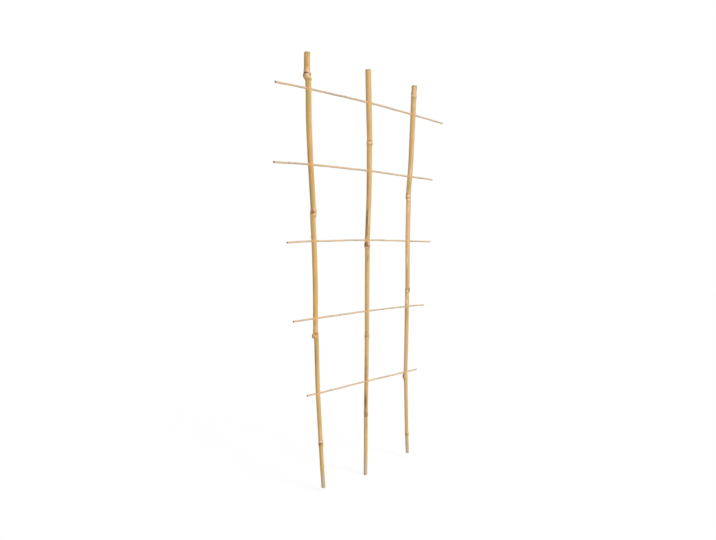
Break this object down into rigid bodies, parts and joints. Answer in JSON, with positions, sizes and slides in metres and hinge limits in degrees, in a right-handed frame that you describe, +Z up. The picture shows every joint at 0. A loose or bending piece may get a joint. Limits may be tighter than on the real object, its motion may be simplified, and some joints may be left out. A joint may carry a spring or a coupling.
{
  "type": "bamboo trellis",
  "caption": "Garden trellis: upright bamboo canes fanning slightly towards the top, joined by thin bamboo sticks that run through drilled cross holes.",
  "frame": {"origin": "centre of the middle cane's foot", "axes": "+Z up along the canes, +X along the sticks to the right, +Y from the front to the back of the trellis"},
  "size_m": [0.4757, 0.0169, 0.7566],
  "materials": {
    "cane": "satin golden tan bamboo skin, with brown node scars",
    "stick": "matt pale split bamboo, with darker sawn ends"
  },
  "bodies": {
    "root": {"left_cane": "cane", "middle_cane": "cane", "right_cane": "cane", "bottom_stick": "stick", "lower_stick": "stick", "centre_stick": "stick", "upper_stick": "stick", "top_stick": "stick"}
  },
  "joints": []
}
